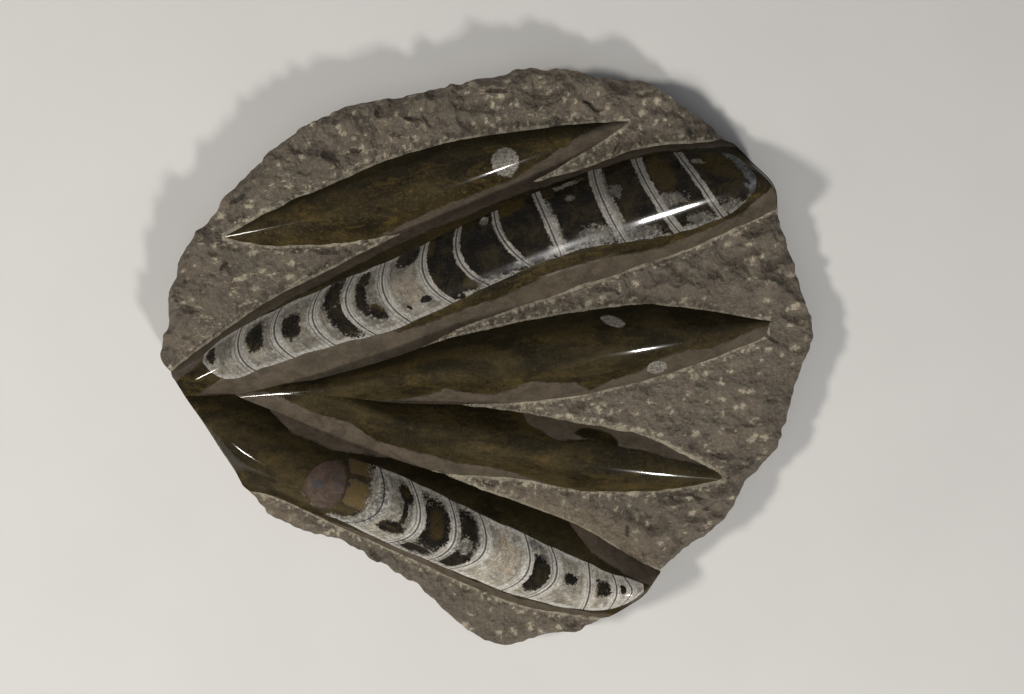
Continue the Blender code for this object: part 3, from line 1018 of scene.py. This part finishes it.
def olive_stone(look):
    """The fossil-rich stone's colour: dark olive-brown drawn out along the ridges, amber in places, with
    painted shade on the far flank.
    """
    amber_stone = tuple(bpy.context.scene.fossil_colours.amber)
    drawn = -0.3  # which way the clouds are drawn out
    gold = look.field("gold")
    cloud = look.grain(15, 5, 0.62, warp=0.3, stretch=(0.45, 1, 1), turn=drawn, seed=4)
    mottle = look.grain(2.8, 6, 0.80, seed=5)
    gritty = look.grain(0.8, 3, 0.7, seed=27)
    golden = look.grain(9, 6, 0.72, warp=0.4, stretch=(0.5, 1, 1), turn=drawn, seed=7).step(0.50, 0.66)
    spark = look.grain(1.5, 5, 0.82, warp=0.3, seed=26).step(0.55, 0.68)
    inky = look.grain(8, 5, 0.72, warp=0.4, stretch=(0.4, 1, 1), turn=drawn, seed=9).step(0.55, 0.68)
    vein = abs(look.grain(21, 4, 0.6, warp=0.4, seed=18) - 0.5).step(0.006, 0.002)
    vein = vein * look.regions(12, 19, 0.52, 0.6)
    speck = look.cells(1.7, seed=6).step(0.13, 0.05) * look.regions(7, 23, 0.50, 0.62)
    # painted shade: the olive darkens towards the far flank, away from the lights
    shaded = (look.field("far") + 0.5 * (cloud - 0.5)).step(0.35, 0.85)
    body = look.blend(cloud.step(0.36, 0.64), (0.0185, 0.0148, 0.0078), (0.050, 0.0375, 0.0165))
    body = look.blend(golden * (0.20 + 0.62 * gold), body, amber_stone)
    return look.layers(
        look.scale(body, 1.35 * mottle + 0.95 * gritty - 0.13 - 0.20 * gold),
        (spark * (0.15 + 0.50 * gold), (0.145, 0.102, 0.038)),
        (inky * 0.6, (0.0125, 0.0105, 0.0068)),
        (vein * 0.7, (0.008, 0.006, 0.004)),
        (speck * 0.6, (0.24, 0.20, 0.12)),
        (shaded * 0.5, (0.0105, 0.0105, 0.0075)),
    )


def polished_stone():
    """Polished limestone: olive-brown above, grey where the plain rock shows."""
    look = Finish("Polished limestone")
    olive = look.field("olive") + 3.2 * (look.grain(8, 5, 0.62, warp=0.6, seed=1) - 0.5)
    mottle = look.grain(3.2, 6, 0.76, warp=0.6, seed=5)
    plain = look.grain(8, 4, 0.6, warp=0.6, seed=13).step(0.35, 0.7)
    grey = look.blend(plain, (0.108, 0.087, 0.064), (0.072, 0.058, 0.042))
    grey = look.scale(grey, 0.32 + 0.75 * look.grain(1.4, 4, 0.7, seed=15) + 0.40 * mottle)
    # The far flank's grey is painted lighter or darker here: painted light and shade.
    grey = look.scale(grey, look.field("lift"))
    seam = abs(olive + 0.3).step(0.5, 0.0) * look.regions(5, 16, 0.45, 0.6)
    small = look.field("inclusion") + 0.5 * (look.grain(1.8, 4, 0.7, seed=31) - 0.5)
    chalk = look.grain(1.1, 5, 0.8, seed=32).step(0.35, 0.62)
    ring = abs(small - 0.02).step(0.06, 0.01)
    colour = look.layers(
        grey,
        (olive.step(-0.3, 0.3), olive_stone(look)),
        (seam * 0.6, (0.012, 0.009, 0.006)),
        (small.step(-0.02, 0.08), look.blend(chalk, (0.07, 0.062, 0.050), (0.27, 0.25, 0.21))),
        (ring * 0.6, (0.03, 0.024, 0.017)),
    )
    scratch = look.grain(0.7, 2, 0.6, stretch=(0.05, 1, 1), turn=0.5, seed=25).step(0.70, 0.78)
    shine = look.polish() * (1 - 0.35 * scratch)
    look.coat(Base_Color=colour, Roughness=0.50, Specular_IOR_Level=0.0)
    look.coat(Coat_Weight=shine, Coat_Roughness=0.11, Coat_IOR=1.38)
    look.bump(look.grain(2.2, 3, 0.6, seed=29), 0.02, 0.5)
    return look.material


def calcite_colour(look, ragged, coarse, milky, crystal):
    """Calcite: white by the walls and along the shell's sides, murky between, in arcs and grains."""
    wall = look.field("wall")
    blush = look.grain(7, 3, 0.6, seed=4).step(0.5, 0.7)
    creamy = look.regions(9, 55, 0.50, 0.62)
    white = look.blend(milky.step(0.35, 0.68), (0.50, 0.475, 0.425), (0.38, 0.36, 0.325))
    murky = look.layers(
        look.blend(milky.step(0.36, 0.66), (0.285, 0.264, 0.220), (0.145, 0.132, 0.106)),
        (blush * 0.4, (0.30, 0.235, 0.165)),
        (creamy * 0.6, (0.36, 0.335, 0.262)),
    )
    clear = (2.3 - wall + 3.0 * coarse + 2.2 * ragged).step(-1.0, 1.2)
    clear = clear.over((1.7 - look.field("side_gap") + 2.0 * coarse + ragged).step(-0.6, 0.8))
    clear = clear.over(look.grain(6, 5, 0.75, seed=51).step(0.52, 0.66) * 0.8)
    arcs = abs((0.45 * wall + 0.20 * coarse + 0.08 * ragged).fract() - 0.5).step(0.16, 0.03)
    arcs = arcs * look.regions(6, 52, 0.38, 0.55)
    rosy = (look.field("rosy") + 0.9 * coarse).step(-0.1, 0.7) * (0.3 + 0.7 * blush)
    calcite = look.layers(
        look.blend(clear, murky, white),
        (arcs * 0.5, (0.11, 0.098, 0.076)),
        (rosy * 0.75, (0.330, 0.262, 0.190)),
    )
    flecks = look.grain(1.1, 4, 0.8, seed=6).step(0.56, 0.66)
    faces = look.cells(2.6, "DISTANCE_TO_EDGE", seed=8).step(0.06, 0.0)
    faces = faces * look.regions(7, 53, 0.5, 0.62)
    crumbly = look.grain(2.0, 5, 0.80, warp=0.3, seed=57).step(0.44, 0.54)
    crumbly = crumbly * (look.field("crumbly") + 0.8 * coarse).step(-0.1, 0.5)
    # The calcite is scaled by its brightness along the shell and by painted shade on the far flank.
    return look.layers(
        look.scale(calcite, (0.02 + 1.92 * crystal) * look.field("clarity_and_painted_shade")),
        (flecks * 0.55, (0.085, 0.074, 0.058)),
        (faces * 0.5, (0.06, 0.052, 0.042)),
        (crumbly * 0.75, look.scale((0.050, 0.048, 0.046), 2.0 * crystal)),
    )


def mud_colour(look, ragged, coarse, milky, crystal, body_part, depth):
    """What fills the chambers: dark mud, stained amber, that glints at its edges.

    The body chamber has rose and honey-coloured stone instead, with a dark line between the two.
    """
    amber_stone = tuple(bpy.context.scene.fossil_colours.amber)
    cloud = look.grain(8, 5, 0.70, warp=0.4, seed=7).step(0.4, 0.65)
    stained = look.field("amber") + 0.8 * coarse + 0.7 * ragged
    amber = stained.step(0.0, 0.5)
    outline = abs(stained - 0.05).step(0.14, 0.03)
    blue = look.grain(6, 3, 0.6, seed=44).step(0.56, 0.66)
    rose = look.blend(milky.step(0.4, 0.6), (0.092, 0.064, 0.048), (0.060, 0.044, 0.033))
    rose = look.scale(look.blend(blue * 0.6, rose, (0.050, 0.052, 0.062)), 0.65 + 0.7 * crystal)
    honey = look.scale((0.096, 0.068, 0.029), 0.30 + 1.4 * crystal)
    glint = look.grain(0.8, 4, 0.8, seed=9).step(0.59, 0.68) * (0.30 + 0.70 * depth.step(0.8, 0.15))
    return look.layers(
        look.blend(cloud, (0.0075, 0.0066, 0.0050), (0.024, 0.018, 0.0095)),
        (amber * 0.75, look.scale(amber_stone, 0.8 * milky + 0.8 * (crystal - 0.5))),
        (body_part, look.blend(amber, rose, honey)),
        (body_part * outline * 0.8, (0.010, 0.008, 0.006)),
        (glint * 0.65 * (1 - body_part), (0.25, 0.235, 0.20)),
    )


def polished_shell():
    """Polished calcite shell: white walls with dark seams, mottled calcite, and mud-dark chambers."""
    look = Finish("Polished shell")
    ragged = look.grain(1.5, 5, 0.75, warp=0.6, seed=1) - 0.5
    coarse = look.grain(4.2, 3, 0.6, warp=0.8, seed=2) - 0.5
    milky = look.grain(5.0, 5, 0.70, warp=0.7, seed=3)
    crystal = look.grain(0.9, 4, 0.75, seed=5)
    wall = look.field("wall")
    band = look.field("band")
    along = look.field("along")
    body_part = (look.field("body") + 0.45 * coarse + 0.2 * ragged).step(-0.10, 0.32)
    depth = look.field("dark") + 0.65 * coarse + 1.55 * ragged
    dark = depth.step(0.00, 0.22)
    calcite = calcite_colour(look, ragged, coarse, milky, crystal)
    mud = mud_colour(look, ragged, coarse, milky, crystal, body_part, depth)
    behind = along.fract().step(0.45, 0.55)
    width = band * (0.70 + 0.5 * look.grain(5, 2, 0.5, seed=11)) * (1 - 0.25 * behind)
    walled = (width - wall + 2.2 * ragged + coarse).step(-0.10, 0.30)
    near_side = look.field("across").step(0.5, 0.4)
    clumps = look.grain(5.5, 3, 0.55, seed=46).step(0.44, 0.62)
    crust = 0.2 + 2.6 * near_side * clumps - look.field("side_gap") + 2.4 * ragged
    crust = crust.step(-0.1, 0.4) * near_side * (1 - body_part)
    crust = crust * along.step(12.65, 12.4)  # none past the upper shell's last wall
    patch = (look.field("white") + 2.6 * ragged + 1.1 * coarse).step(0.0, 0.35)
    speckled = look.grain(1.0, 4, 0.8, seed=54).step(0.60, 0.52)
    end = (look.field("end") + 0.9 * coarse + 0.7 * ragged).step(0.0, 0.35)
    lining = end * (0.35 + 0.5 * look.grain(2.6, 4, 0.75, seed=56).step(0.40, 0.58))
    stone = look.field("stone").step(0.0, 0.05) * (1 - body_part)
    pale = walled.over(patch * (0.75 + 0.25 * speckled)).over(crust * (0.65 + 0.35 * speckled))
    line = (wall + 0.30 * ragged + 0.25 * coarse).step(0.44, 0.24) * band.step(0.2, 0.6)
    second = abs(wall - 0.92 * width).step(0.30, 0.14) * behind * dark.step(0.6, 0.4)
    line = line.over(second * 0.7 * band.step(1.8, 2.3))
    colour = look.layers(
        calcite,
        (dark * (1 - pale * (1 - end)), mud),
        (stone * (1 - patch), olive_stone(look)),
        (line * 0.85, (0.024, 0.020, 0.015)),
        (lining, look.scale((0.145, 0.155, 0.158), 0.10 + 2.6 * crystal * milky)),
    )
    look.coat(Base_Color=colour, Roughness=0.45, Specular_IOR_Level=0.0)
    look.coat(Coat_Weight=look.polish(), Coat_Roughness=0.10, Coat_IOR=1.38)
    look.bump(look.grain(1.8, 3, 0.6, seed=29) - 0.4 * line, 0.025, 0.5)
    return look.material


def plain_floor():
    """Pale matte board."""
    look = Finish("Pale board")
    tone = 0.96 + 0.08 * look.grain(60, 3, 0.5)
    look.coat(Base_Color=look.scale((0.62, 0.61, 0.59), tone), Roughness=0.75)
    return look.material


# ---------------------------------------------------------------- settings, operators, panel


class FossilColours(bpy.types.PropertyGroup):
    """Colours of the stone and its fossils."""

    stone: bpy.props.FloatVectorProperty(
        name="Stone", description="Limestone of the chiselled ground", subtype="COLOR",
        size=3, min=0, max=1, default=(0.135, 0.113, 0.087),
    )
    crushed: bpy.props.FloatVectorProperty(
        name="Tool marks", description="Stone crushed pale by the point chisel", subtype="COLOR",
        size=3, min=0, max=1, default=(0.48, 0.425, 0.315),
    )
    amber: bpy.props.FloatVectorProperty(
        name="Amber", description="Iron-stained patches in the polished stone", subtype="COLOR",
        size=3, min=0, max=1, default=(0.090, 0.062, 0.020),
    )


class FossilStage(bpy.types.PropertyGroup):
    """Camera and lights."""

    camera_height: bpy.props.FloatProperty(
        name="Camera height", description="Camera over the sawn base", unit="LENGTH", default=0.53,
    )
    camera_x: bpy.props.FloatProperty(
        name="Camera X", description="Camera along the plate", unit="LENGTH", default=0.0105,
    )
    camera_y: bpy.props.FloatProperty(
        name="Camera Y", description="Camera across the plate", unit="LENGTH", default=0.004,
    )
    lens: bpy.props.FloatProperty(
        name="Lens", description="Focal length in millimetres", default=40.0, min=10, max=200,
    )
    key_power: bpy.props.FloatProperty(
        name="Key light", description="Power of the key light in watts", default=16.2, min=0,
    )


class FOSSIL_OT_slab(bpy.types.Operator):
    """Makes the slab: chiselled ground, broken sides and sawn base"""

    bl_idname = "fossil.slab"
    bl_label = "Slab"

    def execute(self, context):
        adopt(slab_mesh(), "limestone", limestone(), SLAB_NODE)
        return {"FINISHED"}


class FOSSIL_OT_ridges(bpy.types.Operator):
    """Makes the five polished ridges"""

    bl_idname = "fossil.ridges"
    bl_label = "Ridges"

    def execute(self, context):
        finish = polished_stone()
        for name in RIDGES:
            adopt(ridge_mesh(name), "limestone", finish, SLAB_NODE)
        return {"FINISHED"}


class FOSSIL_OT_shells(bpy.types.Operator):
    """Makes the two sectioned shells"""

    bl_idname = "fossil.shells"
    bl_label = "Shells"

    def execute(self, context):
        finish = polished_shell()
        upper = shell_mesh("upper", "long", UPPER_SHELL_GRID)
        lower = shell_mesh("lower", "edge", LOWER_SHELL_GRID)
        adopt(upper, "calcite_shell", finish, "orthoceras_upper")
        adopt(lower, "calcite_shell", finish, "orthoceras_lower")
        return {"FINISHED"}


def area_light(name, place, size, power, colour):
    """A soft rectangular light that faces the plate."""
    lit_point = Vector((0, 0, 0.02))
    lamp = bpy.data.lights.new(name, "AREA")
    lamp.shape = "RECTANGLE"
    lamp.size, lamp.size_y = size
    lamp.energy = power
    lamp.color = colour
    holder = bpy.data.objects.new(name, lamp)
    holder.location = place
    holder.rotation_euler = (lit_point - Vector(place)).to_track_quat("-Z", "Y").to_euler()
    bpy.context.scene.collection.objects.link(holder)
    return holder


class FOSSIL_OT_stage(bpy.types.Operator):
    """Makes the floor, the lights and the camera"""

    bl_idname = "fossil.stage"
    bl_label = "Stage"

    def execute(self, context):
        scene = context.scene
        settings = scene.fossil_stage
        floor_reach = 8.0
        world_light = 0.11
        power = settings.key_power
        floor_mesh = bpy.data.meshes.new("Floor")
        corners = [(floor_reach * x, floor_reach * y, 0) for x, y in ((-1, -1), (1, -1), (1, 1), (-1, 1))]
        floor_mesh.from_pydata(corners, [], [(0, 1, 2, 3)])
        floor_mesh.materials.append(plain_floor())
        floor = bpy.data.objects.new("Floor", floor_mesh)
        scene.collection.objects.link(floor)
        lights = (
            ("Key", (0.68, -1.20, 1.03), (0.17, 0.17), power, (1.0, 0.97, 0.92)),
            ("Halo", (0.70, -1.23, 1.05), (0.46, 0.40), power * 0.045, (0.92, 0.94, 1.0)),
            ("Left", (-0.86, -0.10, 1.02), (0.20, 0.12), power * 0.62, (1.0, 0.96, 0.90)),
            ("Fill", (-0.2, -0.5, 1.6), (1.4, 1.2), power * 0.32, (0.95, 0.97, 1.0)),
        )
        made = [floor, *(area_light(*light) for light in lights)]
        made[-1].visible_glossy = False
        world = bpy.data.worlds.new("Studio")
        world.use_nodes = True
        background = world.node_tree.nodes["Background"]
        background.inputs["Color"].default_value = (0.9, 0.93, 1.0, 1)
        background.inputs["Strength"].default_value = world_light
        scene.world = world
        camera = bpy.data.cameras.new("Camera")
        camera.lens = settings.lens
        camera.sensor_width = 36.0
        camera.clip_start = 0.01
        holder = bpy.data.objects.new("Camera", camera)
        holder.location = (settings.camera_x, settings.camera_y, settings.camera_height)
        scene.collection.objects.link(holder)
        scene.camera = holder
        scene.view_settings.view_transform = "Standard"
        return {"FINISHED"}


class FOSSIL_PT_panel(bpy.types.Panel):
    """The plate's settings, and a button for each of its parts"""

    bl_idname = "FOSSIL_PT_panel"
    bl_label = "Fossil plate"
    bl_space_type = "VIEW_3D"
    bl_region_type = "UI"
    bl_category = "Fossil plate"

    def draw(self, context):
        for settings in (context.scene.fossil_colours, context.scene.fossil_stage):
            box = self.layout.box()
            for name in settings.__annotations__:
                box.prop(settings, name)
        for operator in OPERATORS:
            self.layout.operator(operator.bl_idname)


OPERATORS = (FOSSIL_OT_slab, FOSSIL_OT_ridges, FOSSIL_OT_shells, FOSSIL_OT_stage)
CLASSES = (FossilColours, FossilStage, *OPERATORS, FOSSIL_PT_panel)


def register():
    for each in CLASSES:
        bpy.utils.register_class(each)
    bpy.types.Scene.fossil_colours = bpy.props.PointerProperty(type=FossilColours)
    bpy.types.Scene.fossil_stage = bpy.props.PointerProperty(type=FossilStage)


def unregister():
    del bpy.types.Scene.fossil_stage
    del bpy.types.Scene.fossil_colours
    for each in reversed(CLASSES):
        bpy.utils.unregister_class(each)


def main():
    register()
    bpy.ops.fossil.slab()
    bpy.ops.fossil.ridges()
    bpy.ops.fossil.shells()
    bpy.ops.fossil.stage()


if __name__ == "__main__":
    main()
